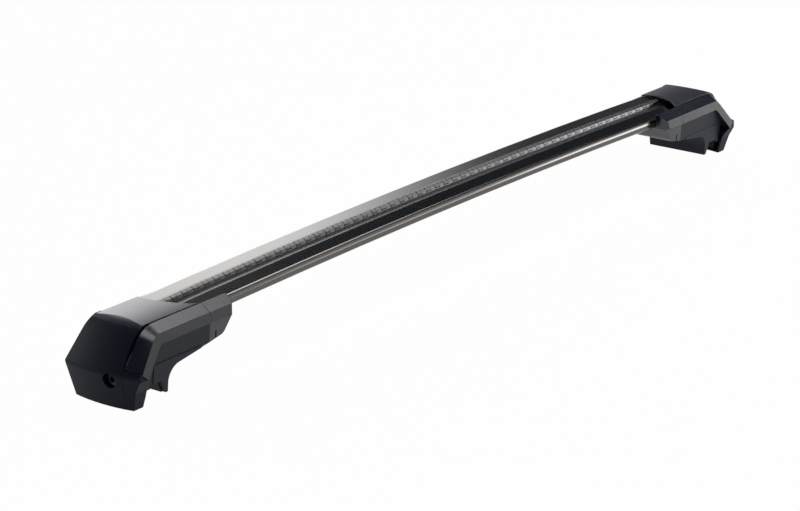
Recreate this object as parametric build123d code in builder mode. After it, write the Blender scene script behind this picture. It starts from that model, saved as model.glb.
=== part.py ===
from build123d import *
import os
from math import asin, cos, degrees, hypot, radians, sin, tan

os.makedirs("parts", exist_ok=True)

# Bar, measured across its section from the top face and its middle line
bar_length = 1010.0
bar_arch_radius = 16500.0
bar_seat_z = 80.0
bar_front = 30.5
bar_rear = 33.0
bar_height = 25.5
bar_wall = 2.0
nose_drop = 7.0
nose_depth = 16.6
chamfer_run = 16.5
slot_front = 9.5
slot_rear = 10.0
lip_drop = 4.0
slot_depth = 6.5
slot_floor = 11.0
slot_undercut = 3.25
channel_mouth = 9.0
channel_width = 17.0
channel_height = 4.3
channel_lip = 2.2
rear_top_radius = 4.5
rear_low_radius = 9.0
belly_radius = 8.0
nose_low_radius = 3.0
nose_top_radius = 6.5

# Cutters run past what they cut by this much
cut_spare = 10.0

# Toothed strip
strip_clearance = 0.15
tooth_pitch = 16.5
tooth_drop = 4.9
tooth_front = 2.5
tooth_brow = 1.5
slit_spare = 1.0
strip_floor = 5.6
slit_width = 1.0
fine_slit_width = 0.5
short_tooth = 7.0
short_setback = 0.9
short_ledge = 3.9

# End plugs
plug_thickness = 3.0
plug_depth = 9.0

# Foot, measured along from the bar's end and up from the floor under the covers
foot_clearance = 0.35
grip_x = -45.0
seam_gap = 0.4
trim_gap = 0.1
collar_end = -99.5
collar_seam = -61.5
collar_radius = 12.0
collar_plan_half = 48.7
collar_lip = 4.0
collar_lip_drop = 2.0
collar_lip_radius = 3.0
collar_rise_run = 16.0
collar_rise = 4.0
collar_rise_radius = 10.0
collar_groove_depth = 1.5
collar_slot_x = -71.5
collar_slot_z = 46.5
collar_slot_width = 2.2
collar_slot_height = 8.6
collar_slot_depth = 4.0
groove_inner = 31.2
groove_outer = 33.7
groove_spare = 1.0
facet_top = 81.0
crease_z = 73.25
crease_y = 45.7
side_lean = 0.2
band_width = 10.6
shoulder_x = 20.0
band_radius = 9.0
crease_radius = 18.0
facet_radius = 30.0
slant_angle = 49.4
slant_run = 43.3
facet_shoulder_x = 26.0
facet_foot_x = 53.5
facet_foot_z = 45.3
panel_half = 39.6
panel_lean = 0.10
border_height = 41.0
border_rise = 0.8
border_margin = 12.0
core_half = 33.4
core_rear_half = 30.5
core_lap = 2.0
core_nose_x = 44.0
core_tip_x = 46.0
core_drop = 2.5
core_end = 25.0
core_radius = 14.0
deck_x = 16.0
deck_length = 3.0
deck_half = 20.0
deck_gap = 0.3

# Underside of the foot
lug_z = 6.0
lug_inner_x = -0.5
lug_outer_x = 3.0
recess_start = 9.4
recess_roof = 20.5
body_end = 34.0
lip_x = 26.0
lip_width = 5.0
lip_z = 16.5
under_start_z = 40.2
under_slope = 0.144
under_radius = 18.0
pad_thickness = 3.0
pad_half = 36.0
lug_pad_thickness = 2.0

# Rear side, seen only over the bar: lower facets and a wrapped cover
rear_facet_z = 78.2
rear_crease_z = 71.9
rear_trim_end = 15.0
rear_wall = 1.0
rear_top_half = 32.6
rear_nose_half = 47.5

# Top cover
roof_z = 83.0
roof_radius = 30.0
cover_thickness = 2.4
cover_edge = 0.8
roof_edge_z = 81.2
crown_lift = 0.1
rim_front_x = -57.0
rim_middle_x = -36.5
rim_middle_y = 4.0
rim_rear_x = -38.0
cover_end_x = 30.0

# Jaw cover
nose_x = 60.5
nose_z = 37.0
bulge_radius = 200.0
bulge_sweep = 70.0
jaw_top_x = 33.0
jaw_nose_radius = 7.0
jaw_foot_x = 53.0
jaw_wall = 2.6
jaw_rear_x = 39.5
jaw_half_top = 52.0
jaw_top_flare_z = 33.5
jaw_half_middle = 44.8
jaw_middle_z = 20.0
jaw_half_foot = 39.2
jaw_corner_x = 53.6
jaw_corner_lead = 8.0
jaw_corner_radius = 5.0
step_gap = 0.7
step_reach = 1.6
brow_height = 10.0
brow_run = 6.0
bucket_drop = 0.3
tool_hole = 16.0

# Clamp
screw_y = -16.0
screw_z = 30.0
screw_radius = 4.0
screw_head_radius = 6.5
screw_head_height = 8.0
screw_end_x = 4.0
screw_hole_spare = 1.5
hex_across = 6.0
hex_depth = 4.5
washer_radius = 8.0
washer_thickness = 1.6
nut_across = 13.0
nut_thickness = 6.5
nut_x = 15.0
jaw_plate_thickness = 4.0
jaw_plate_half = 31.5
jaw_plate_top = 34.0
jaw_pad_thickness = 2.5
jaw_pad_top = 18.0
guide_half = 27.5
guide_width = 7.0
guide_height = 6.0
guide_length = 24.0
guide_z = 30.0
guide_spare = 1.0

# Foot to bar fixing
fix_x = (-43.0, -23.0)
fix_radius = 3.0
fix_head_radius = 5.0
fix_head_height = 6.0
fix_well_radius = 6.0
fix_floor = 8.0
fix_middle = -33.0
nut_plate_length = 44.0
fix_reach = 40.0

bar_end = bar_length / 2
grip_turn = asin((bar_end + grip_x) / bar_arch_radius)
bar_crown_height = bar_seat_z + bar_arch_radius * (1 - cos(grip_turn))
cover_under_z = roof_z - cover_thickness
slot_middle = (slot_rear - slot_front) / 2
slot_mouth = slot_rear + slot_front
slot_width = slot_mouth + 2 * slot_undercut
bar_arc = 2 * degrees(asin(bar_end / bar_arch_radius))
bar_axis = Axis((0, 0, bar_crown_height - bar_arch_radius), (0, 1, 0))


def bar_plane(x):
    """Plane square to the arched bar at x, with its origin on the bar's top."""
    turn = asin(x / bar_arch_radius)
    height = bar_crown_height - bar_arch_radius * (1 - cos(turn))
    return Plane((x, 0, height), x_dir=(0, 1, 0), z_dir=(cos(turn), 0, -sin(turn)))


def bar_outline(margin=0.0):
    """Sketch of the bar's outer section, grown by margin."""
    with BuildSketch() as outline:
        with BuildLine():
            FilletPolyline(
                (slot_rear, 0),
                (bar_rear, 0),
                (bar_rear, -bar_height),
                (chamfer_run - bar_front, -bar_height),
                (-bar_front, -nose_depth),
                (-bar_front, -nose_drop),
                (-slot_front, -lip_drop),
                radius=(
                    0,
                    rear_top_radius,
                    rear_low_radius,
                    belly_radius,
                    nose_low_radius,
                    nose_top_radius,
                    0,
                ),
                close=True,
            )
        make_face()
        if margin:
            offset(amount=margin, mode=Mode.REPLACE)
    return outline.sketch


def foot_plane(x):
    """The bar's plane at x from its end, in the foot's own frame."""
    plane = bar_plane(bar_end + x)
    return Plane(plane.origin - Vector(bar_end, 0, 0), x_dir=plane.x_dir, z_dir=plane.z_dir)


def fix_spots(lift):
    """Places of the foot's fixing screws, square to the bar and lifted from its underside."""
    spots = []
    for x in fix_x:
        down = lift - bar_height
        level = bar_seat_z - (x - grip_x) * tan(grip_turn)
        place = (x + down * sin(grip_turn), 0, level + down * cos(grip_turn))
        square = Plane(place, x_dir=(0, 1, 0), z_dir=(sin(grip_turn), 0, cos(grip_turn)))
        spots.append(square.location)
    return spots


def export_piece(part, name):
    """Label a piece and write it to its own file."""
    part.label = name
    export_step(part, f"parts/{name}.step")


def export_pair(part, name):
    """Move a piece out to the right foot and write it with its mirror image at the left foot."""
    placed = part.moved(Location((bar_end, 0, 0)))
    export_piece(placed, f"right_{name}")
    export_piece(mirror(placed, about=Plane.YZ), f"left_{name}")


# Crossbar
with BuildSketch() as bar_void:
    add(bar_outline(-bar_wall))
    with Locations((slot_middle, -(slot_floor + bar_wall) / 2)):
        Rectangle(slot_width + 2 * bar_wall, slot_floor + bar_wall, mode=Mode.SUBTRACT)
    with Locations((0, -bar_height)):
        Rectangle(
            channel_width + 2 * bar_wall,
            2 * (channel_lip + channel_height + bar_wall),
            mode=Mode.SUBTRACT,
        )

with BuildPart() as crossbar:
    with BuildSketch(bar_plane(-bar_end)):
        add(bar_outline())
        add(bar_void.sketch, mode=Mode.SUBTRACT)
        with Locations((slot_middle, -(slot_depth + slot_floor) / 2)):
            Rectangle(slot_width, slot_floor - slot_depth, mode=Mode.SUBTRACT)
        with Locations((slot_middle, -slot_floor / 2)):
            Rectangle(slot_mouth, slot_floor, mode=Mode.SUBTRACT)
        with Locations((0, channel_lip + channel_height / 2 - bar_height)):
            Rectangle(channel_width, channel_height, mode=Mode.SUBTRACT)
        with Locations((0, -bar_height)):
            Rectangle(channel_mouth, 2 * (channel_lip + channel_height), mode=Mode.SUBTRACT)
    revolve(axis=bar_axis, revolution_arc=bar_arc)
export_piece(crossbar.part, "crossbar")

# Toothed strip
tooth_back = tooth_front + tooth_drop
tooth_middle = tooth_back - tooth_drop / 2
teeth = int(bar_length / tooth_pitch) - 1


def tooth_spots(across, down, along):
    """One place for each tooth pitch along the arched bar, shifted within its own section."""
    planes = [bar_plane((i - teeth / 2) * tooth_pitch) for i in range(teeth + 1)]
    return [plane.location * Location((across, down, along)) for plane in planes]


with BuildPart() as toothed_strip:
    with BuildSketch(bar_plane(-bar_end)):
        with BuildLine():
            flange_rear = slot_rear + slot_undercut - strip_clearance
            flange_front = slot_front + slot_undercut - strip_clearance
            Polyline(
                (tooth_back, 0),
                (tooth_front + tooth_brow, -tooth_brow),
                (tooth_front, -tooth_drop),
                (tooth_front, -strip_floor),
                (strip_clearance - slot_front, -strip_floor),
                (strip_clearance - slot_front, -slot_depth - strip_clearance),
                (-flange_front, -slot_depth - strip_clearance),
                (-flange_front, strip_clearance - slot_floor),
                (flange_rear, strip_clearance - slot_floor),
                (flange_rear, -slot_depth - strip_clearance),
                (slot_rear - strip_clearance, -slot_depth - strip_clearance),
                (slot_rear - strip_clearance, 0),
                close=True,
            )
        make_face()
    revolve(axis=bar_axis, revolution_arc=bar_arc)
    with Locations(*tooth_spots(tooth_middle, -tooth_drop / 2, 0)):
        Box(tooth_drop + slit_spare, tooth_drop, slit_width, mode=Mode.SUBTRACT)
    with Locations(*tooth_spots(tooth_middle, -tooth_drop / 2, short_tooth + slit_width)):
        Box(tooth_drop + slit_spare, tooth_drop, fine_slit_width, mode=Mode.SUBTRACT)
    with Locations(*tooth_spots(tooth_front, -short_ledge / 2, (short_tooth + slit_width) / 2)):
        Box(2 * short_setback, short_ledge, short_tooth, mode=Mode.SUBTRACT)
export_piece(toothed_strip.part, "toothed_strip")

# End plugs
with BuildPart() as end_plug:
    with BuildSketch(foot_plane(0)):
        add(bar_outline())
    extrude(amount=plug_thickness)
    with BuildSketch(foot_plane(0)):
        add(bar_void.sketch)
        offset(amount=-strip_clearance, mode=Mode.REPLACE)
    extrude(amount=-plug_depth)
export_pair(end_plug.part, "end_plug")

# Lines of the foot seen from the side
slant = radians(slant_angle)
crease_foot = (shoulder_x + slant_run * cos(slant), crease_z - slant_run * sin(slant))
band_z = crease_z - band_width
band_shoulder_x = shoulder_x - band_width * tan(slant / 2)
band_foot = (crease_foot[0] - band_width * sin(slant), crease_foot[1] - band_width * cos(slant))
flank_end_z = band_z - (body_end - band_shoulder_x) * tan(slant)
lean_length = hypot(1, side_lean)
lug_corner_z = under_start_z - (lug_inner_x - collar_seam) * under_slope
bulge_x = nose_x - bulge_radius
bulge_axis = Axis((bulge_x, 0, 0), (0, 0, 1))
bulge_start = radians(-bulge_sweep / 2)
bulge_plane = Plane(
    (bulge_x, 0, 0),
    x_dir=(cos(bulge_start), sin(bulge_start), 0),
    z_dir=(sin(bulge_start), -cos(bulge_start), 0),
)


def panel_at(z, rise=0.0):
    """Half width of the foot's side panels at height z."""
    return panel_half + panel_lean * (z - lug_z) + rise


# Way through the foot for the bar, open at the top
with BuildPart() as bar_way:
    with BuildSketch(foot_plane(grip_x).offset(deck_x - grip_x)):
        add(bar_outline(foot_clearance))
        with Locations(((bar_rear - bar_front) / 2, 0)):
            Rectangle(bar_front + bar_rear + 2 * foot_clearance, bar_height)
    extrude(amount=collar_end - deck_x - cut_spare)

# Raised lower border of the side panels
with BuildPart() as panel_border:
    with BuildSketch(Plane.YZ.offset(collar_seam + border_margin)):
        with BuildLine():
            Polyline(
                (-panel_at(lug_z, border_rise), lug_z),
                (panel_at(lug_z, border_rise), lug_z),
                (panel_at(border_height, border_rise), border_height),
                (-panel_at(border_height, border_rise), border_height),
                close=True,
            )
        make_face()
    extrude(amount=body_end - collar_seam - 2 * border_margin)

# Foot body
with BuildPart() as foot_body:
    with BuildSketch(Plane.YZ.offset(collar_seam)):
        with BuildLine():
            Polyline(
                (-panel_at(lug_z), lug_z),
                (panel_at(lug_z), lug_z),
                (panel_at(band_z), band_z),
                (-panel_at(band_z), band_z),
                close=True,
            )
        make_face()
    extrude(amount=body_end - collar_seam)
    add(panel_border.part)
    with BuildSketch(Plane.XZ):
        with BuildLine():
            FilletPolyline(
                (collar_seam, under_start_z),
                (lug_inner_x, lug_corner_z),
                (lug_inner_x, lug_z),
                (lug_outer_x, lug_z),
                (recess_start, recess_roof),
                (lip_x, recess_roof),
                (lip_x, lip_z),
                (lip_x + lip_width, lip_z),
                (body_end, recess_roof),
                (body_end, flank_end_z - 2 * trim_gap),
                (band_shoulder_x - trim_gap, band_z - trim_gap),
                (collar_seam, band_z - trim_gap),
                radius=(0, under_radius, 0, 0, 0, 0, 0, 0, 0, 0, band_radius, 0),
                close=True,
            )
        make_face()
    extrude(amount=jaw_half_top, both=True, mode=Mode.INTERSECT)
    with BuildSketch(Plane.XZ) as foot_core:
        with BuildLine():
            FilletPolyline(
                (collar_seam, band_z - band_width),
                (body_end, flank_end_z - core_lap),
                (core_nose_x, flank_end_z),
                (core_tip_x, flank_end_z + band_width / 2),
                (core_end, facet_top - core_drop),
                (collar_seam, facet_top - core_drop),
                radius=(0, 0, 0, 0, core_radius, 0),
                close=True,
            )
        make_face()
    extrude(amount=core_half)
    extrude(foot_core.sketch, amount=-core_rear_half)
    with Locations((deck_x, 0, cover_under_z - deck_gap)):
        Box(
            deck_length,
            2 * deck_half,
            2 * core_drop,
            align=(Align.MIN, Align.CENTER, Align.MAX),
        )
    add(bar_way.part, mode=Mode.SUBTRACT)
    with BuildSketch(Plane.YZ.offset(body_end)):
        with Locations((screw_y, screw_z)):
            Circle(screw_radius + foot_clearance)
    extrude(amount=screw_end_x - body_end - screw_hole_spare, mode=Mode.SUBTRACT)
    with BuildSketch(Plane.YZ.offset(nut_x)):
        with Locations((screw_y, screw_z)):
            Rectangle(nut_across, nut_across)
    extrude(amount=nut_thickness, mode=Mode.SUBTRACT)
    with BuildSketch(Plane.YZ.offset(body_end)):
        with Locations((-guide_half, guide_z), (guide_half, guide_z)):
            Rectangle(guide_width + 2 * foot_clearance, guide_height + 2 * foot_clearance)
    extrude(amount=jaw_rear_x - guide_length - body_end - guide_spare, mode=Mode.SUBTRACT)
    with Locations(*fix_spots(0)):
        Cylinder(fix_radius + foot_clearance, fix_reach, mode=Mode.SUBTRACT)
    with Locations(*fix_spots(-fix_floor)):
        Cylinder(
            fix_well_radius,
            fix_reach,
            align=(Align.CENTER, Align.CENTER, Align.MAX),
            mode=Mode.SUBTRACT,
        )
export_pair(foot_body.part, "foot_body")

# Cutter that lowers the rear side below the line of sight over the bar
rear_slope = (rear_facet_z - rear_crease_z) / (crease_y - groove_outer)
with BuildPart() as rear_shave:
    with BuildSketch(Plane.YZ.offset(collar_end - cut_spare)):
        with BuildLine():
            Polyline(
                (core_rear_half, rear_facet_z + rear_slope * (groove_outer - core_rear_half)),
                (jaw_half_top, rear_facet_z - rear_slope * (jaw_half_top - groove_outer)),
                (jaw_half_top, roof_z),
                (core_rear_half, roof_z),
                close=True,
            )
        make_face()
    extrude(amount=nose_x - collar_end)

# Inboard collar
with BuildPart() as inboard_collar:
    with BuildSketch(Plane.YZ.offset(collar_end)):
        with BuildLine():
            half_section = Polyline(
                (0, under_start_z),
                (-panel_at(under_start_z), under_start_z),
                (-panel_at(band_z), band_z),
                (-crease_y - side_lean * band_width, band_z),
                (-crease_y, crease_z),
                (-groove_outer, facet_top),
                (-groove_inner, facet_top - collar_groove_depth),
                (0, facet_top - collar_groove_depth),
            )
            mirror(half_section, about=Plane.YZ)
        make_face()
    extrude(amount=collar_seam - collar_end - seam_gap)
    with BuildSketch(Plane.XZ):
        with BuildLine():
            FilletPolyline(
                (collar_end, facet_top),
                (collar_end, band_z),
                (collar_end + collar_lip, band_z - collar_lip_drop),
                (collar_end + collar_rise_run, under_start_z + collar_rise),
                (collar_seam, under_start_z),
                (collar_seam, facet_top),
                radius=(0, 0, collar_lip_radius, collar_rise_radius, 0, 0),
                close=True,
            )
        make_face()
    extrude(amount=jaw_half_top, both=True, mode=Mode.INTERSECT)
    with BuildSketch():
        with BuildLine():
            FilletPolyline(
                (collar_seam, -collar_plan_half),
                (collar_end, -collar_plan_half),
                (collar_end, collar_plan_half),
                (collar_seam, collar_plan_half),
                radius=(0, collar_radius, collar_radius, 0),
                close=True,
            )
        make_face()
    extrude(amount=facet_top, mode=Mode.INTERSECT)
    add(bar_way.part, mode=Mode.SUBTRACT)
    add(rear_shave.part, mode=Mode.SUBTRACT)
    with Locations(
        (collar_slot_x, -panel_at(collar_slot_z), collar_slot_z),
        (collar_slot_x, panel_at(collar_slot_z), collar_slot_z),
    ):
        Box(collar_slot_width, collar_slot_depth, collar_slot_height, mode=Mode.SUBTRACT)
export_pair(inboard_collar.part, "inboard_collar")

# Side trims: facet and band that turn from the level top down the nose
with BuildPart() as front_side_trim:
    with BuildSketch(Plane.XZ.offset(groove_outer)):
        with BuildLine():
            FilletPolyline(
                (collar_seam, facet_top),
                (facet_shoulder_x, facet_top),
                (facet_foot_x, facet_foot_z),
                band_foot,
                (band_shoulder_x, band_z),
                (collar_seam, band_z),
                radius=(0, facet_radius, 0, 0, band_radius, 0),
                close=True,
            )
        make_face()
    side_plane = Plane((0, -crease_y, crease_z), x_dir=(1, 0, 0), z_dir=(0, -1, side_lean))
    with BuildSketch(side_plane):
        with BuildLine():
            FilletPolyline(
                (collar_seam, 0),
                (shoulder_x, 0),
                (crease_foot[0], (crease_foot[1] - crease_z) * lean_length),
                (band_foot[0], (band_foot[1] - crease_z) * lean_length),
                (band_shoulder_x, -band_width * lean_length),
                (collar_seam, -band_width * lean_length),
                radius=(0, crease_radius, 0, 0, band_radius, 0),
                close=True,
            )
        make_face()
    loft(ruled=True)
export_pair(front_side_trim.part, "front_side_trim")

with BuildPart() as rear_side_trim:
    add(mirror(front_side_trim.part, about=Plane.XZ))
    split(bisect_by=Plane.YZ.offset(rear_trim_end), keep=Keep.BOTTOM)
    add(rear_shave.part, mode=Mode.SUBTRACT)
export_pair(rear_side_trim.part, "rear_side_trim")


def roof_block(inset, back_x, section):
    """Roof, slanted face and nose in one block, its outer faces moved in by inset and cut to a section."""
    level = roof_z + crown_lift - inset
    with BuildPart() as block:
        with BuildSketch(bulge_plane):
            with BuildLine():
                FilletPolyline(
                    (rim_front_x - bulge_x - cut_spare, level),
                    (jaw_top_x - bulge_x - inset / 2, level),
                    (nose_x - bulge_x - inset, nose_z),
                    (jaw_foot_x - bulge_x - inset, inset),
                    (back_x - bulge_x, inset),
                    radius=(0, roof_radius - inset, jaw_nose_radius - inset, 0, 0),
                    close=True,
                )
            make_face()
        revolve(axis=bulge_axis, revolution_arc=bulge_sweep)
        with BuildSketch(Plane.YZ.offset(bulge_x)):
            with BuildLine():
                crown = ThreePointArc(section[0], (0, roof_z - inset), section[1])
                Polyline(crown @ 1, *section[2:], crown @ 0)
            make_face()
        extrude(amount=2 * bulge_radius, mode=Mode.INTERSECT)
    return block.part


def cover_section(inset, front_half):
    """Jaw cover across the foot: upright at the front groove, leaning out to the nose at the rear."""
    return [
        (-front_half, roof_edge_z - inset),
        (rear_top_half - inset * rear_wall / jaw_wall, roof_edge_z - inset),
        (rear_nose_half - inset, nose_z),
        (jaw_half_foot - inset, 0),
        (-front_half, 0),
    ]


def plate_section(edge, half):
    """Top cover across the foot: a crowned plate between the grooves, lowered by edge at its sides."""
    side_z = roof_edge_z - edge
    return [(-half, side_z), (half, side_z), (half, 0), (-half, 0)]


# Top cover
roof_plate = roof_block(0, jaw_rear_x, plate_section(0, groove_inner))
roof_room = roof_block(
    cover_thickness,
    rim_front_x - cut_spare,
    plate_section(cover_edge, groove_inner + groove_spare),
)
with BuildPart() as top_cover:
    add(roof_plate)
    add(roof_room, mode=Mode.SUBTRACT)
    with BuildSketch(Plane.XY.offset(band_z)):
        with BuildLine():
            rim = ThreePointArc(
                (rim_front_x, -groove_inner),
                (rim_middle_x, rim_middle_y),
                (rim_rear_x, groove_inner),
            )
            Polyline(rim @ 1, (nose_x, groove_inner), (nose_x, -groove_inner), rim @ 0)
        make_face()
        with Locations((bulge_x, 0)):
            Circle(cover_end_x - bulge_x, mode=Mode.INTERSECT)
    extrude(amount=roof_z, mode=Mode.INTERSECT)
export_pair(top_cover.part, "top_cover")


def jaw_bucket(inset):
    """Lower jaw cover below the step, its outer faces moved in by inset."""
    front = nose_x - bulge_x - bucket_drop - inset
    foot = jaw_foot_x - bulge_x - bucket_drop - inset
    step = step_gap + inset
    step_low = (band_foot[0] + step * cos(slant), band_foot[1] - step * sin(slant))
    step_high = (facet_foot_x + step * cos(slant), facet_foot_z - step * sin(slant))
    step_out = (
        step_low[0] + step_reach * (step_high[0] - step_low[0]),
        step_low[1] + step_reach * (step_high[1] - step_low[1]),
    )
    step_in = (
        step_low[0] + (1 - step_reach) * (step_high[0] - step_low[0]),
        step_low[1] + (1 - step_reach) * (step_high[1] - step_low[1]),
    )
    with BuildPart() as bucket:
        with BuildSketch(bulge_plane):
            with BuildLine():
                FilletPolyline(
                    (jaw_rear_x - bulge_x - 3 * inset, nose_z + brow_height),
                    (front - brow_run, nose_z + brow_height),
                    (front, nose_z),
                    (foot, inset),
                    (jaw_rear_x - bulge_x - 3 * inset, inset),
                    radius=(0, 0, jaw_nose_radius - inset, 0, 0),
                    close=True,
                )
            make_face()
        revolve(axis=bulge_axis, revolution_arc=bulge_sweep)
        with BuildSketch(Plane.XZ):
            with BuildLine():
                Polyline(
                    step_in,
                    step_out,
                    (step_out[0], 0),
                    (step_in[0], 0),
                    close=True,
                )
            make_face()
        extrude(amount=2 * jaw_half_top, both=True, mode=Mode.INTERSECT)
        with BuildSketch(Plane.YZ.offset(bulge_x)):
            with BuildLine():
                Polyline(
                    (inset - jaw_half_foot, 0),
                    (0, 0),
                    (0, roof_edge_z),
                    (inset - jaw_half_top, roof_edge_z),
                    (inset - jaw_half_top, jaw_top_flare_z),
                    (inset - jaw_half_middle, jaw_middle_z),
                    close=True,
                )
            make_face()
        extrude(amount=2 * bulge_radius, mode=Mode.INTERSECT)
        with BuildSketch():
            with BuildLine():
                FilletPolyline(
                    (bulge_x, 0),
                    (bulge_x, inset - jaw_half_top),
                    (jaw_corner_x - inset, inset - jaw_half_top),
                    (nose_x + jaw_corner_lead - inset, 0),
                    radius=(0, 0, jaw_corner_radius - inset, 0),
                    close=True,
                )
            make_face()
        extrude(amount=roof_z, mode=Mode.INTERSECT)
    return bucket.part


# Jaw cover
cover_outside = roof_block(0, jaw_rear_x, cover_section(0, groove_inner))
cover_inside = roof_block(
    jaw_wall,
    rim_front_x - cut_spare,
    cover_section(jaw_wall, groove_inner + groove_spare),
)
bucket_outside = jaw_bucket(0)
bucket_inside = jaw_bucket(jaw_wall)
with BuildPart() as jaw_cover:
    add(cover_outside)
    add(bucket_outside)
    add(cover_inside, mode=Mode.SUBTRACT)
    add(bucket_inside, mode=Mode.SUBTRACT)
    with BuildSketch():
        with Locations((bulge_x, 0)):
            Circle(cover_end_x + seam_gap - bulge_x)
        with Locations((bulge_x, groove_inner + trim_gap)):
            Rectangle(
                2 * bulge_radius,
                2 * bulge_radius,
                align=(Align.CENTER, Align.MAX),
                mode=Mode.INTERSECT,
            )
        with Locations((rear_trim_end + seam_gap, 0)):
            Rectangle(bulge_radius, 2 * bulge_radius, align=(Align.MAX, Align.CENTER))
    extrude(amount=roof_z + cut_spare, mode=Mode.SUBTRACT)
    with BuildSketch(Plane.XZ):
        with BuildLine():
            Polyline(
                (deck_x - cut_spare, 0),
                (body_end + seam_gap, 0),
                (body_end + seam_gap, flank_end_z + 2 * seam_gap),
                (band_shoulder_x, band_z + seam_gap),
                (deck_x - cut_spare, band_z + seam_gap),
                close=True,
            )
        make_face()
    extrude(amount=2 * jaw_half_top, both=True, mode=Mode.SUBTRACT)
    with BuildSketch(Plane.YZ.offset(jaw_rear_x)):
        with Locations((screw_y, screw_z)):
            Circle(tool_hole / 2)
    extrude(amount=2 * jaw_half_top, mode=Mode.SUBTRACT)
export_pair(jaw_cover.part, "jaw_cover")

# Rubber pads around the rail
with BuildPart() as rail_pad:
    with Locations((lip_x, 0, recess_roof)):
        Box(
            lip_x - recess_start - 2 * lug_pad_thickness,
            2 * pad_half,
            pad_thickness,
            align=(Align.MAX, Align.CENTER, Align.MAX),
        )
export_pair(rail_pad.part, "rail_pad")

with BuildPart() as lug_pad:
    with BuildSketch(Plane.XZ):
        with BuildLine():
            Polyline(
                (lug_outer_x, lug_z),
                (lug_outer_x + lug_pad_thickness, lug_z),
                (recess_start + lug_pad_thickness, recess_roof),
                (recess_start, recess_roof),
                close=True,
            )
        make_face()
    extrude(amount=pad_half, both=True)
export_pair(lug_pad.part, "lug_pad")

# Jaw plate with its two guide arms
with BuildPart() as jaw_plate:
    with Locations((jaw_rear_x, 0, jaw_wall)):
        Box(
            jaw_plate_thickness,
            2 * jaw_plate_half,
            jaw_plate_top - jaw_wall,
            align=(Align.MIN, Align.CENTER, Align.MIN),
        )
    with Locations((jaw_rear_x, -guide_half, guide_z), (jaw_rear_x, guide_half, guide_z)):
        Box(
            guide_length,
            guide_width,
            guide_height,
            align=(Align.MAX, Align.CENTER, Align.CENTER),
        )
    with BuildSketch(Plane.YZ.offset(jaw_rear_x)):
        with Locations((screw_y, screw_z)):
            Circle(screw_radius + foot_clearance)
    extrude(amount=jaw_plate_thickness, mode=Mode.SUBTRACT)
export_pair(jaw_plate.part, "jaw_plate")

with BuildPart() as jaw_pad:
    with Locations((jaw_rear_x, 0, jaw_wall)):
        Box(
            jaw_pad_thickness,
            2 * jaw_plate_half,
            jaw_pad_top - jaw_wall,
            align=(Align.MAX, Align.CENTER, Align.MIN),
        )
export_pair(jaw_pad.part, "jaw_pad")

# Clamp screw with its washer and square nut
washer_x = jaw_rear_x + jaw_plate_thickness
head_x = washer_x + washer_thickness
with BuildPart() as clamp_screw:
    with BuildSketch(Plane.YZ.offset(screw_end_x)):
        with Locations((screw_y, screw_z)):
            Circle(screw_radius)
    extrude(amount=head_x - screw_end_x)
    with BuildSketch(Plane.YZ.offset(head_x)):
        with Locations((screw_y, screw_z)):
            Circle(screw_head_radius)
    extrude(amount=screw_head_height)
    with BuildSketch(Plane.YZ.offset(head_x + screw_head_height)):
        with Locations((screw_y, screw_z)):
            RegularPolygon(hex_across / 2, 6, major_radius=False)
    extrude(amount=-hex_depth, mode=Mode.SUBTRACT)
export_pair(clamp_screw.part, "clamp_screw")

with BuildPart() as screw_washer:
    with BuildSketch(Plane.YZ.offset(washer_x)):
        with Locations((screw_y, screw_z)):
            Circle(washer_radius)
            Circle(screw_radius + foot_clearance, mode=Mode.SUBTRACT)
    extrude(amount=washer_thickness)
export_pair(screw_washer.part, "screw_washer")

with BuildPart() as clamp_nut:
    with BuildSketch(Plane.YZ.offset(nut_x)):
        with Locations((screw_y, screw_z)):
            Rectangle(nut_across, nut_across)
            Circle(screw_radius + foot_clearance, mode=Mode.SUBTRACT)
    extrude(amount=nut_thickness)
export_pair(clamp_nut.part, "clamp_nut")

# Nut plate in the bar's lower channel and the screws that pull it down
with BuildPart() as bar_nut_plate:
    with BuildSketch(foot_plane(grip_x).offset(fix_middle - grip_x)):
        with Locations((0, channel_lip + channel_height / 2 - bar_height)):
            Rectangle(channel_width - 2 * foot_clearance, channel_height - 2 * foot_clearance)
    extrude(amount=nut_plate_length / 2, both=True)
    with Locations(*fix_spots(0)):
        Cylinder(fix_radius, fix_reach, mode=Mode.SUBTRACT)
export_pair(bar_nut_plate.part, "bar_nut_plate")

with BuildPart() as bar_screws:
    with Locations(*fix_spots(-fix_floor)):
        Cylinder(
            fix_radius,
            fix_floor + channel_lip + channel_height - foot_clearance,
            align=(Align.CENTER, Align.CENTER, Align.MIN),
        )
        Cylinder(
            fix_head_radius,
            fix_head_height,
            align=(Align.CENTER, Align.CENTER, Align.MAX),
        )
export_pair(bar_screws.part, "bar_screws")
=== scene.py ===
"""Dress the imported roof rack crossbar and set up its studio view."""

import math
from typing import NamedTuple

import bpy
import numpy as np
from mathutils import Matrix, Vector


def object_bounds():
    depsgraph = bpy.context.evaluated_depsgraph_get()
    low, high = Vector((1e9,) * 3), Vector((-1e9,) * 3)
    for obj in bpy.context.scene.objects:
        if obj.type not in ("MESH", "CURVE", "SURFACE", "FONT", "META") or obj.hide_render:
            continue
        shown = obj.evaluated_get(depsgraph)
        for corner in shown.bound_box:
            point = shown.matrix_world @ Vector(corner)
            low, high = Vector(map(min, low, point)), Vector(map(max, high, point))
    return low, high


bl_info = {
    "name": "Roof Rack Crossbar Finish",
    "version": (1, 0, 0),
    "blender": (4, 5, 0),
    "location": "View3D > Sidebar > Crossbar",
    "description": "Finishes for an arched crossbar with clamp feet, and a studio stage",
    "category": "Object",
}

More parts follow.
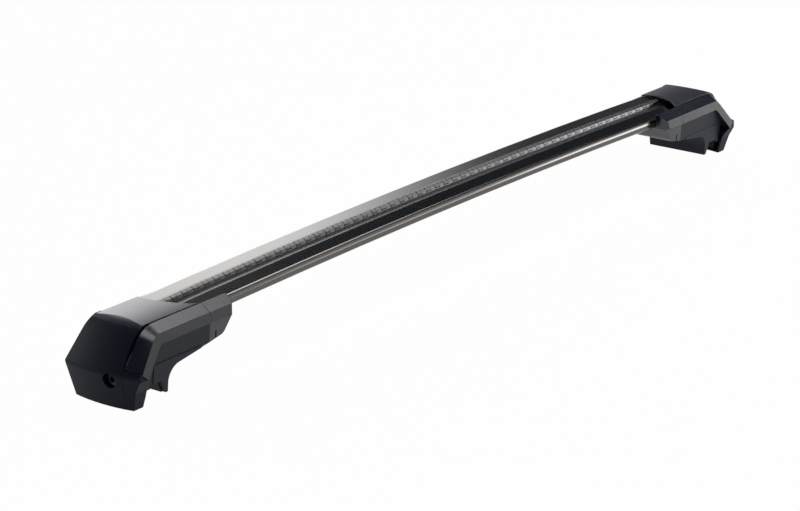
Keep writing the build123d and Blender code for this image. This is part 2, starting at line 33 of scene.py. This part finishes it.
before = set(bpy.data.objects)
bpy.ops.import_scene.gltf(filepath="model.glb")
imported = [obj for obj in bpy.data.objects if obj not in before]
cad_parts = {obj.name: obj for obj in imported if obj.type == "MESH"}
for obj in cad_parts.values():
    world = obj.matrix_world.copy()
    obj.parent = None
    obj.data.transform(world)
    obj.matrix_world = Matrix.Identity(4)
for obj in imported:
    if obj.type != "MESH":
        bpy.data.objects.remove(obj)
CAD_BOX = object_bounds()
SIDES = ("left", "right")
WHITE = (1.0, 1.0, 1.0, 1.0)


class Wire:
    """One output socket of a finish. Arithmetic on it adds Math nodes."""

    def __init__(self, finish, socket):
        self.finish = finish
        self.socket = socket

    def maths(self, operation, first, second):
        return self.finish.make("ShaderNodeMath", {"operation": operation}, {0: first, 1: second})[0]

    def __add__(self, other):
        return self.maths("ADD", self, other)

    def __radd__(self, other):
        return self.maths("ADD", other, self)

    def __sub__(self, other):
        return self.maths("SUBTRACT", self, other)

    def __rsub__(self, other):
        return self.maths("SUBTRACT", other, self)

    def __mul__(self, other):
        return self.maths("MULTIPLY", self, other)

    def __rmul__(self, other):
        return self.maths("MULTIPLY", other, self)

    def __abs__(self):
        return self.maths("ABSOLUTE", self, 0.0)

    def at_least(self, other):
        return self.maths("MAXIMUM", self, other)

    def swing(self, amount):
        """Turn a value between 0 and 1 into one that swings about 0 and is amount wide."""
        return (self - 0.5) * amount


class Made:
    """A node that was made. Indexing gives one of its outputs as a Wire."""

    def __init__(self, finish, node):
        self.finish = finish
        self.node = node

    def __getitem__(self, key):
        return Wire(self.finish, self.node.outputs[key])


class Finish:
    """Node tree of one material or of the world, built through a single node-making method."""

    def __init__(self, owner):
        owner.use_nodes = True
        self.owner = owner
        self.tree = owner.node_tree
        self.tree.nodes.clear()

    def make(self, kind, settings=None, sockets=None):
        """Add a node, set its settings first, then fill its sockets with values or links."""
        node = self.tree.nodes.new(kind)
        for key, value in (settings or {}).items():
            setattr(node, key, value)
        for key, value in (sockets or {}).items():
            if isinstance(value, Wire):
                self.tree.links.new(value.socket, node.inputs[key])
            else:
                node.inputs[key].default_value = value
        return Made(self, node)

    def place(self, scale=(1.0, 1.0, 1.0)):
        """Object coordinates in metres, stretched by scale."""
        coordinates = self.make("ShaderNodeTexCoord")["Object"]
        return self.make("ShaderNodeMapping", {}, {"Vector": coordinates, "Scale": scale})["Vector"]

    def noise(self, scale, stretch=(1.0, 1.0, 1.0), detail=3.0):
        """Noise in the range 0 to 1, with scale features per metre."""
        return self.make(
            "ShaderNodeTexNoise",
            {},
            {"Vector": self.place(stretch), "Scale": scale, "Detail": detail},
        )["Fac"]

    def tint(self, share, first, second):
        """Colour that goes from first to second as share goes from 0 to 1."""
        return self.make(
            "ShaderNodeMix",
            {"data_type": "RGBA"},
            {0: share, 6: (*first, 1.0), 7: (*second, 1.0)},
        )[2]

    def fade(self, value, start, end):
        """Smooth step from 0 at start to 1 at end."""
        return self.make(
            "ShaderNodeMapRange",
            {"interpolation_type": "SMOOTHSTEP"},
            {"Value": value, "From Min": start, "From Max": end},
        )[0]

    def soft_edges(self, radius):
        """Normal that rounds the edges, and how far it departs from the flat face's own normal."""
        rounded = self.make("ShaderNodeBevel", {"samples": 6}, {"Radius": radius})["Normal"]
        flat = self.make("ShaderNodeNewGeometry")["Normal"]
        along = self.make("ShaderNodeVectorMath", {"operation": "DOT_PRODUCT"}, {0: rounded, 1: flat})[1]
        return rounded, 1.0 - along

    def bump(self, height, distance, strength, normal=None):
        """Normal that a height from 0 to 1 raises by distance, over another normal where one is given."""
        sockets = {"Strength": strength, "Distance": distance, "Height": height}
        if normal is not None:
            sockets["Normal"] = normal
        return self.make("ShaderNodeBump", {}, sockets)["Normal"]

    def surface(self, **sockets):
        """Principled surface. A socket's name is written with underscores for its spaces."""
        named = {key.replace("_", " "): value for key, value in sockets.items()}
        return self.make("ShaderNodeBsdfPrincipled", {}, named)[0]

    def output(self, shader):
        self.make("ShaderNodeOutputMaterial", {}, {"Surface": shader})
        return self.owner


def new_finish(name):
    return Finish(bpy.data.materials.new(name))


def settings(look, piece, *parts):
    """The look's settings of one piece, such as its grain, roughness and gloss."""
    return [getattr(look, f"{piece}_{part}") for part in parts]


def plastic_shader(finish, look, piece, tone):
    """Moulded plastic: fine spark grain, slow cloudy sheen and edges paler in colour, partly as wear from
    handling and partly as a painted edge highlight.
    """
    colour, edge_wear_and_highlight_colour = settings(look, tone, "colour", "edge")
    grain_height, roughness, gloss = settings(look, piece, "grain", "roughness", "gloss")
    grain_strength = 0.6
    edge_wear_and_highlight, cloud_wear = 2.0, 0.5
    grain_roughness, cloud_roughness = 0.16, 0.08
    grain = finish.noise(look.grain_density, detail=2.0)
    cloud = finish.noise(look.cloud_density, detail=3.0)
    rounded, edge = finish.soft_edges(look.moulded_edge)
    return finish.surface(
        # Paler colour along the rounded edges: partly handling wear, partly a painted highlight where the
        # edges catch light.
        Base_Color=finish.tint(edge * edge_wear_and_highlight + cloud.swing(cloud_wear), colour, edge_wear_and_highlight_colour),
        Roughness=roughness + grain.swing(grain_roughness) + cloud.swing(cloud_roughness),
        Normal=finish.bump(grain, grain_height, grain_strength, rounded),
        Specular_IOR_Level=gloss,
    )


def moulded_finish(name, look, piece):
    """Black moulded plastic with the texture of one piece."""
    finish = new_finish(name)
    return finish.output(plastic_shader(finish, look, piece, "plastic"))


def banded_finish(name, look):
    """Black plastic with a coarser, paler texture on the band, on one leaning plane at each side."""
    inner_inset, outer_inset = 0.0004, 0.0001
    finish = new_finish(name)
    smooth = plastic_shader(finish, look, "facet", "plastic")
    coarse = plastic_shader(finish, look, "band", "band")
    place = finish.make("ShaderNodeSeparateXYZ", {}, {0: finish.place()})
    out = abs(place["Y"]) + place["Z"] * look.band_lean
    band = finish.fade(out, look.band_reach - inner_inset, look.band_reach - outer_inset)
    return finish.output(finish.make("ShaderNodeMixShader", {}, {0: band, 1: smooth, 2: coarse})[0])


def coat_finish(name, look):
    """Dark anodised extrusion: faint lines along the bar and a little uneven gloss."""
    line_height, line_strength = 0.000004, 0.3
    cloud_roughness, line_roughness = 0.06, 0.05
    finish = new_finish(name)
    lines = finish.noise(60.0, stretch=(0.04, 22.0, 22.0), detail=2.0)
    cloud = finish.noise(9.0, stretch=(0.4, 1.0, 1.0), detail=2.0)
    shader = finish.surface(
        Base_Color=finish.tint(cloud, look.coat_colour, look.coat_worn),
        Metallic=1.0,
        Roughness=look.coat_roughness + cloud.swing(cloud_roughness) + lines.swing(line_roughness),
        Normal=finish.bump(lines, line_height, line_strength),
    )
    return finish.output(shader)


def rubber_finish(name, look, piece):
    """Black rubber: soft mottled grain, a dusty bloom in patches, edges paler in colour as partly wear and
    partly a painted edge highlight, and a moulded skin that shines.
    """
    colour, dust_and_edge_highlight_colour = settings(look, piece, "colour", "bloom")
    grain_height, roughness, skin = settings(look, piece, "grain", "roughness", "skin")
    grain_strength = 0.4
    bloom_share, bloom_roughness = 0.7, 0.12
    plain_gloss, skin_gloss = 0.4, 0.6
    finish = new_finish(name)
    grain = finish.noise(1000.0, detail=3.0)
    bloom = finish.noise(26.0, detail=4.0)
    rounded, edge = finish.soft_edges(look.rubber_edge)
    shader = finish.surface(
        # The bloom colour also goes along the edges: dust in patches, and on the edges partly wear and
        # partly a painted edge highlight.
        Base_Color=finish.tint(bloom * bloom_share + edge, colour, dust_and_edge_highlight_colour),
        Roughness=roughness + bloom.swing(bloom_roughness),
        Normal=finish.bump(grain, grain_height, grain_strength, rounded),
        Specular_IOR_Level=plain_gloss + skin_gloss * skin,
        Coat_Weight=skin,
        Coat_Roughness=roughness,
    )
    return finish.output(shader)


def steel_finish(name, look, piece):
    """Treated steel: brushed along the screw, with a pale spangle."""
    colour, pale = settings(look, piece, "colour", "pale")
    brush_height, brush_strength = 0.00003, 0.3
    roughness, brush_roughness = 0.3, 0.2
    finish = new_finish(name)
    brushed = finish.noise(120.0, stretch=(0.3, 14.0, 14.0), detail=3.0)
    spangle = finish.noise(300.0, detail=2.0)
    shader = finish.surface(
        Base_Color=finish.tint(spangle, colour, pale),
        Metallic=1.0,
        Roughness=roughness + brushed * brush_roughness,
        Normal=finish.bump(brushed, brush_height, brush_strength),
    )
    return finish.output(shader)


def wear_finish(nodes, material):
    """Give CAD nodes a finish in place of their packed material."""
    for name in nodes:
        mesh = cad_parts[name].data
        mesh.materials.clear()
        mesh.materials.append(material)


def both_feet(*names):
    """Names of like nodes at both ends of the bar."""
    return [f"{side}_{name}" for side in SIDES for name in names]


def colour_property(name, description, default):
    """Colour in linear red, green and blue."""
    return bpy.props.FloatVectorProperty(
        name=name, description=description, subtype="COLOR", size=3, min=0.0, max=1.0, default=default
    )


def share_property(name, description, default, least=0.0):
    """Number from least to 1."""
    return bpy.props.FloatProperty(
        name=name, description=description, subtype="FACTOR", min=least, max=1.0, default=default
    )


def level_property(name, description, default):
    """Number that is never negative."""
    return bpy.props.FloatProperty(name=name, description=description, min=0.0, default=default)


def length_property(name, description, default, unit="LENGTH"):
    """Length in metres, or in millimetres with the camera's unit."""
    return bpy.props.FloatProperty(name=name, description=description, unit=unit, default=default)


def angle_property(name, description, degrees):
    """Angle whose default is given in degrees."""
    return bpy.props.FloatProperty(
        name=name, description=description, subtype="ANGLE", default=math.radians(degrees)
    )


class CrossbarLook(bpy.types.PropertyGroup):
    """Colours and surface sizes of the crossbar's finishes."""

    coat_colour: colour_property("Coat", "Colour of the bar's dark anodised coat", (0.125, 0.118, 0.112))
    coat_worn: colour_property("Worn coat", "Colour of the coat where it is paler", (0.14, 0.133, 0.126))
    coat_roughness: share_property("Coat roughness", "Roughness of the bar's coat", 0.17)

    strip_colour: colour_property("Strip", "Colour of the toothed strip", (0.014, 0.014, 0.015))
    strip_bloom: colour_property("Strip bloom", "Colour of the strip's dusty patches", (0.022, 0.022, 0.023))
    strip_grain: length_property("Strip grain", "Height of the strip's grain", 0.00001)
    strip_roughness: share_property("Strip roughness", "Roughness of the strip", 0.31)
    strip_skin: share_property("Strip skin", "Shine of the strip's moulded skin", 0.4)

    pad_colour: colour_property("Pad", "Colour of the clamp's rubber pads", (0.012, 0.012, 0.012))
    pad_bloom: colour_property("Pad bloom", "Colour of the pads' dusty patches", (0.024, 0.024, 0.024))
    pad_grain: length_property("Pad grain", "Height of the pads' grain", 0.00008)
    pad_roughness: share_property("Pad roughness", "Roughness of the pads", 0.7)
    pad_skin: share_property("Pad skin", "Shine of the pads' skin", 0.0)
    rubber_edge: length_property("Rubber edge", "Rounding of the rubber's edges", 0.00015)

    plastic_colour: colour_property("Plastic", "Colour of the moulded plastic", (0.0075, 0.0103, 0.02))
    # The edge colour is laid on by the rounded-edge mask: partly wear, partly a painted edge highlight.
    plastic_edge: colour_property("Plastic edge", "Colour of its polished edges", (0.018, 0.021, 0.031))
    grain_density: level_property("Grain density", "Grain features in a metre of plastic", 1500.0)
    cloud_density: level_property("Cloud density", "Cloudy patches in a metre of plastic", 18.0)
    moulded_edge: length_property("Moulded edge", "Rounding of the moulded edges", 0.0007)

    plug_grain: length_property("Plug grain", "Height of the end plugs' grain", 0.00006)
    plug_roughness: share_property("Plug roughness", "Roughness of the end plugs", 0.55)
    plug_gloss: share_property("Plug gloss", "Reflection level of the end plugs", 0.22)

    body_grain: length_property("Body grain", "Height of the foot bodies' grain", 0.00012)
    body_roughness: share_property("Body roughness", "Roughness of the foot bodies", 0.52)
    body_gloss: share_property("Body gloss", "Reflection level of the foot bodies", 0.3)

    facet_grain: length_property("Facet grain", "Height of the grain on the side trims' facets", 0.00006)
    facet_roughness: share_property("Facet roughness", "Roughness of the side trims' facets", 0.22)
    facet_gloss: share_property("Facet gloss", "Reflection level of the side trims' facets", 0.8)

    band_colour: colour_property("Band", "Colour of the textured band along the feet", (0.02, 0.021, 0.025))
    # The band's edge colour is likewise partly wear, partly a painted edge highlight.
    band_edge: colour_property("Band edge", "Colour of the band's polished edges", (0.04, 0.04, 0.043))
    band_grain: length_property("Band grain", "Height of the band's grain", 0.00022)
    band_roughness: share_property("Band roughness", "Roughness of the band", 0.6)
    band_gloss: share_property("Band gloss", "Reflection level of the band", 0.8)
    band_lean: share_property("Band lean", "Inward lean of the band's plane, as a slope", 0.2)
    band_reach: length_property("Band reach", "The band's plane from the middle, at height 0", 0.06035)

    cover_grain: length_property("Cover grain", "Height of the top covers' grain", 0.00004)
    cover_roughness: share_property("Cover roughness", "Roughness of the top covers", 0.32)
    cover_gloss: share_property("Cover gloss", "Reflection level of the top covers", 0.78)

    jaw_grain: length_property("Jaw grain", "Height of the jaw covers' grain", 0.00005)
    jaw_roughness: share_property("Jaw roughness", "Roughness of the jaw covers", 0.44)
    jaw_gloss: share_property("Jaw gloss", "Reflection level of the jaw covers", 0.11)

    steel_colour: colour_property("Steel", "Colour of the plated steel", (0.3, 0.31, 0.33))
    steel_pale: colour_property("Pale steel", "Colour of the plating's pale spangle", (0.42, 0.43, 0.45))
    # The screw's dark colour is painted shade: it stands in for the shade deep in the jaw cover's tool hole,
    # with paler spots of that darkened colour.
    screw_colour: colour_property("Screw", "Colour of the blackened clamp screw", (0.035, 0.038, 0.048))
    screw_pale: colour_property("Pale screw", "Colour of the screw's rubbed spots", (0.06, 0.063, 0.075))


class CrossbarStage(bpy.types.PropertyGroup):
    """Camera, lights and floor of the studio view."""

    aim: bpy.props.FloatVectorProperty(
        name="Aim",
        description="Point that the camera looks at",
        subtype="TRANSLATION",
        default=(-0.0736, -0.002, 0.0234),
    )
    distance: length_property("Distance", "Distance from camera to aim", 3.2484)
    azimuth: angle_property("Azimuth", "Camera's turn about the vertical", -52.125)
    elevation: angle_property("Elevation", "Camera's angle above level", 18.815)
    roll: angle_property("Roll", "Camera's tilt about its own axis", -0.597)
    lens: length_property("Lens", "Camera's focal length", 130.5, unit="CAMERA")
    sensor: length_property("Sensor", "Width of the camera's sensor", 36.0, unit="CAMERA")

    floor_radius: length_property("Floor radius", "Radius of the pale floor", 14.0)
    floor_gap: length_property("Floor gap", "Gap between the floor and the lowest piece", 0.0005)

    ceiling: colour_property("Ceiling", "Colour of the dim ceiling", (0.034, 0.039, 0.052))
    haze: level_property("Haze", "Level of the light near the horizon", 0.25)
    glow: level_property("Glow", "Level of the glow high at the right", 4.5)
    fill: level_property("Fill", "Level of the fill light low at the right", 0.9)
    wall: level_property("Wall", "Level of the bright wall", 2.75)
    wall_azimuth: angle_property("Wall azimuth", "Where the bright wall starts, from +X", 35.6)
    wall_feather: share_property("Wall feather", "Width of the wall's soft end", 0.096, least=0.01)
    wall_top: share_property("Wall top", "Height of the wall, as the sine of its elevation", 0.44)


class CROSSBAR_OT_bar(bpy.types.Operator):
    """Finish the extruded bar and its end plugs"""

    bl_idname = "crossbar.bar"
    bl_label = "Bar"

    def execute(self, context):
        look = context.scene.crossbar_look
        wear_finish(["crossbar"], coat_finish("bar_coat", look))
        wear_finish(both_feet("end_plug"), moulded_finish("plug_plastic", look, "plug"))
        return {"FINISHED"}


class CROSSBAR_OT_strip(bpy.types.Operator):
    """Finish the toothed rubber strip on top of the bar"""

    bl_idname = "crossbar.strip"
    bl_label = "Toothed strip"

    def execute(self, context):
        look = context.scene.crossbar_look
        wear_finish(["toothed_strip"], rubber_finish("strip_rubber", look, "strip"))
        return {"FINISHED"}


class CROSSBAR_OT_feet(bpy.types.Operator):
    """Finish the feet's bodies, collars, side trims and top covers"""

    bl_idname = "crossbar.feet"
    bl_label = "Feet"

    def execute(self, context):
        look = context.scene.crossbar_look
        trims = both_feet("inboard_collar", "front_side_trim", "rear_side_trim")
        wear_finish(both_feet("foot_body"), moulded_finish("grained_plastic", look, "body"))
        wear_finish(trims, banded_finish("banded_plastic", look))
        wear_finish(both_feet("top_cover"), moulded_finish("cover_plastic", look, "cover"))
        return {"FINISHED"}


class CROSSBAR_OT_jaws(bpy.types.Operator):
    """Finish the jaw covers that slide out from the feet"""

    bl_idname = "crossbar.jaws"
    bl_label = "Jaws"

    def execute(self, context):
        look = context.scene.crossbar_look
        wear_finish(both_feet("jaw_cover"), moulded_finish("jaw_plastic", look, "jaw"))
        return {"FINISHED"}


class CROSSBAR_OT_pads(bpy.types.Operator):
    """Finish the rubber pads that grip the rail"""

    bl_idname = "crossbar.pads"
    bl_label = "Rubber pads"

    def execute(self, context):
        look = context.scene.crossbar_look
        pads = both_feet("rail_pad", "lug_pad", "jaw_pad")
        wear_finish(pads, rubber_finish("pad_rubber", look, "pad"))
        return {"FINISHED"}


class CROSSBAR_OT_hardware(bpy.types.Operator):
    """Finish the screws, nuts, washers and plates"""

    bl_idname = "crossbar.hardware"
    bl_label = "Screws and plates"

    def execute(self, context):
        look = context.scene.crossbar_look
        plated = both_feet("jaw_plate", "screw_washer", "clamp_nut", "bar_nut_plate", "bar_screws")
        wear_finish(plated, steel_finish("zinc_steel", look, "steel"))
        # The clamp screw gets a darkened steel colour that paints the shade inside its tool hole.
        wear_finish(both_feet("clamp_screw"), steel_finish("shade_darkened_steel", look, "screw"))
        return {"FINISHED"}


def disc_mesh(name, radius, height, rings=24, spokes=96):
    """Flat disc: point (r cos t, r sin t, height) with r growing as the square of the ring's share."""
    first_share = 0.02
    share = np.linspace(first_share, 1.0, rings)
    turn = np.linspace(0.0, 2.0 * math.pi, spokes, endpoint=False)
    r, t = np.meshgrid(radius * share**2, turn, indexing="ij")
    points = np.stack([r * np.cos(t), r * np.sin(t), np.full_like(r, height)], axis=-1).reshape(-1, 3)
    points = np.vstack([points, [[0.0, 0.0, height]]])
    ring, spoke = np.meshgrid(np.arange(rings - 1), np.arange(spokes), indexing="ij")
    inner, outer = ring * spokes, (ring + 1) * spokes
    after = (spoke + 1) % spokes
    quads = np.stack([inner + spoke, outer + spoke, outer + after, inner + after], axis=-1).reshape(-1, 4)
    first = np.arange(spokes)
    middle = np.stack([np.full(spokes, rings * spokes), first, (first + 1) % spokes], axis=-1)
    mesh = bpy.data.meshes.new(name)
    mesh.from_pydata(points.tolist(), [], quads.tolist() + middle.tolist())
    mesh.update()
    return mesh


def floor_finish():
    """Pale floor: white to the camera and in reflections, and a plain matte white to all other light."""
    camera_white, mirror_white, matte_white = 0.98, 0.65, (0.8, 0.8, 0.8, 1.0)
    finish = new_finish("pale_floor")
    path = finish.make("ShaderNodeLightPath")
    mirrored = path["Is Glossy Ray"].at_least(path["Is Transmission Ray"])
    seen = path["Is Camera Ray"] * camera_white + mirrored * mirror_white
    glow = finish.make("ShaderNodeEmission", {}, {"Color": WHITE, "Strength": 1.0})[0]
    matte = finish.make("ShaderNodeBsdfDiffuse", {}, {"Color": matte_white})[0]
    mixed = finish.make("ShaderNodeMixShader", {}, {0: seen, 1: matte, 2: glow})[0]
    return finish.output(mixed)


# Where the room's lights fade in or out, by the parts of a ray's direction
WALL_REACH = (-0.1, 0.25)
WALL_TOP_FADE = 0.1
GLOW_HEIGHT = (0.66, 0.73)
GLOW_LEAN = 0.3
GLOW_RIGHT = (-0.16, -0.04)
GLOW_LEFT = (0.2, 0.28)
GLOW_AHEAD = (0.0, 0.3)
FILL_TOWARDS = (0.785, -0.453, 0.423)
FILL_REACH = (0.92, 0.99)
HAZE_TOP = (0.0, 0.3)


def room_light(world, stage):
    """Dim room with a bright wall, a high glow, a low fill light and haze, set by direction alone."""
    finish = Finish(world)
    direction = finish.make("ShaderNodeTexCoord")["Generated"]
    parts = finish.make("ShaderNodeSeparateXYZ", {}, {0: direction})
    x, y, z = parts["X"], parts["Y"], parts["Z"]
    along, beside = math.cos(stage.wall_azimuth), math.sin(stage.wall_azimuth)
    wall = (
        finish.fade(y * along - x * beside, 0.0, stage.wall_feather)
        * finish.fade(x * along + y * beside, *WALL_REACH)
        * (1.0 - finish.fade(z, stage.wall_top, stage.wall_top + WALL_TOP_FADE))
    )
    glow = (
        finish.fade(z + y * GLOW_LEAN, *GLOW_HEIGHT)
        * finish.fade(y, *GLOW_RIGHT)
        * (1.0 - finish.fade(y, *GLOW_LEFT))
        * finish.fade(x, *GLOW_AHEAD)
    )
    fill_x, fill_y, fill_z = FILL_TOWARDS
    fill = finish.fade(x * fill_x + y * fill_y + z * fill_z, *FILL_REACH)
    haze = 1.0 - finish.fade(z, *HAZE_TOP)
    level = wall * stage.wall + glow * stage.glow + fill * stage.fill + haze * stage.haze
    peak = max(stage.wall, stage.glow)
    colour = finish.tint(level * (1.0 / peak), stage.ceiling, (peak, peak, peak))
    ground = finish.make("ShaderNodeBackground", {}, {"Color": colour, "Strength": 1.0})[0]
    finish.make("ShaderNodeOutputWorld", {}, {"Surface": ground})


class SoftBox(NamedTuple):
    """Area lamp: direction from the aim in degrees, distance and size in metres, and radiance."""

    name: str
    azimuth: float
    elevation: float
    distance: float
    width: float
    height: float
    radiance: float


SOFT_BOXES = (
    SoftBox("low_soft_box", -35.0, 8.0, distance=2.0, width=1.2, height=0.6, radiance=2.0),
    SoftBox("far_soft_box", -20.0, 5.0, distance=1.46, width=0.75, height=0.5, radiance=3.8),
    SoftBox("overhead_soft_box", -125.0, 66.0, distance=3.0, width=1.2, height=1.2, radiance=2.6),
)


def hang_soft_box(scene, box, aim):
    """Put up a soft box that faces the aim; its power is radiance times area times pi."""
    a, e = math.radians(box.azimuth), math.radians(box.elevation)
    towards = Vector((math.cos(a) * math.cos(e), math.sin(a) * math.cos(e), math.sin(e)))
    data = bpy.data.lights.new(box.name, "AREA")
    data.shape = "RECTANGLE"
    data.size, data.size_y = box.width, box.height
    data.energy = box.radiance * box.width * box.height * math.pi
    lamp = bpy.data.objects.new(box.name, data)
    lamp.location = aim + towards * box.distance
    lamp.rotation_mode = "QUATERNION"
    lamp.rotation_quaternion = towards.to_track_quat("Z", "Y")
    scene.collection.objects.link(lamp)


def make_camera(scene, stage, aim):
    """Camera on a sphere about the aim, turned by azimuth and elevation, then rolled about its own axis."""
    a, e, r = stage.azimuth, stage.elevation, stage.roll
    back = Vector((math.sin(a) * math.cos(e), -math.cos(a) * math.cos(e), math.sin(e)))
    right = Vector((math.cos(a), math.sin(a), 0.0))
    up = back.cross(right)
    across = right * math.cos(r) + up * math.sin(r)
    upward = up * math.cos(r) - right * math.sin(r)
    data = bpy.data.cameras.new("camera")
    data.lens = stage.lens
    data.sensor_width = stage.sensor
    camera = bpy.data.objects.new("camera", data)
    turn = Matrix((across, upward, back)).transposed().to_4x4()
    camera.matrix_world = Matrix.Translation(aim + back * stage.distance) @ turn
    scene.collection.objects.link(camera)
    scene.camera = camera


class CROSSBAR_OT_stage(bpy.types.Operator):
    """Set up the floor, the lights and the camera"""

    bl_idname = "crossbar.stage"
    bl_label = "Stage"

    def execute(self, context):
        scene = context.scene
        stage = scene.crossbar_stage
        scene.view_settings.view_transform = "Standard"
        floor_height = CAD_BOX[0].z - stage.floor_gap
        floor = bpy.data.objects.new("floor", disc_mesh("floor", stage.floor_radius, floor_height))
        floor.data.materials.append(floor_finish())
        scene.collection.objects.link(floor)
        scene.world = bpy.data.worlds.new("room")
        room_light(scene.world, stage)
        aim = Vector(stage.aim)
        for box in SOFT_BOXES:
            hang_soft_box(scene, box, aim)
        make_camera(scene, stage, aim)
        return {"FINISHED"}


class CROSSBAR_PT_panel(bpy.types.Panel):
    """List the crossbar's operators in the sidebar"""

    bl_idname = "CROSSBAR_PT_panel"
    bl_label = "Crossbar"
    bl_space_type = "VIEW_3D"
    bl_region_type = "UI"
    bl_category = "Crossbar"

    def draw(self, context):
        for operator in OPERATORS:
            self.layout.operator(operator.bl_idname)


OPERATORS = (
    CROSSBAR_OT_bar,
    CROSSBAR_OT_strip,
    CROSSBAR_OT_feet,
    CROSSBAR_OT_jaws,
    CROSSBAR_OT_pads,
    CROSSBAR_OT_hardware,
    CROSSBAR_OT_stage,
)
CLASSES = (CrossbarLook, CrossbarStage, *OPERATORS, CROSSBAR_PT_panel)


def register():
    for item in CLASSES:
        bpy.utils.register_class(item)
    bpy.types.Scene.crossbar_look = bpy.props.PointerProperty(type=CrossbarLook)
    bpy.types.Scene.crossbar_stage = bpy.props.PointerProperty(type=CrossbarStage)


def unregister():
    del bpy.types.Scene.crossbar_stage
    del bpy.types.Scene.crossbar_look
    for item in reversed(CLASSES):
        bpy.utils.unregister_class(item)


def main():
    register()
    bpy.ops.crossbar.bar()
    bpy.ops.crossbar.strip()
    bpy.ops.crossbar.feet()
    bpy.ops.crossbar.jaws()
    bpy.ops.crossbar.pads()
    bpy.ops.crossbar.hardware()
    bpy.ops.crossbar.stage()


if __name__ == "__main__":
    main()
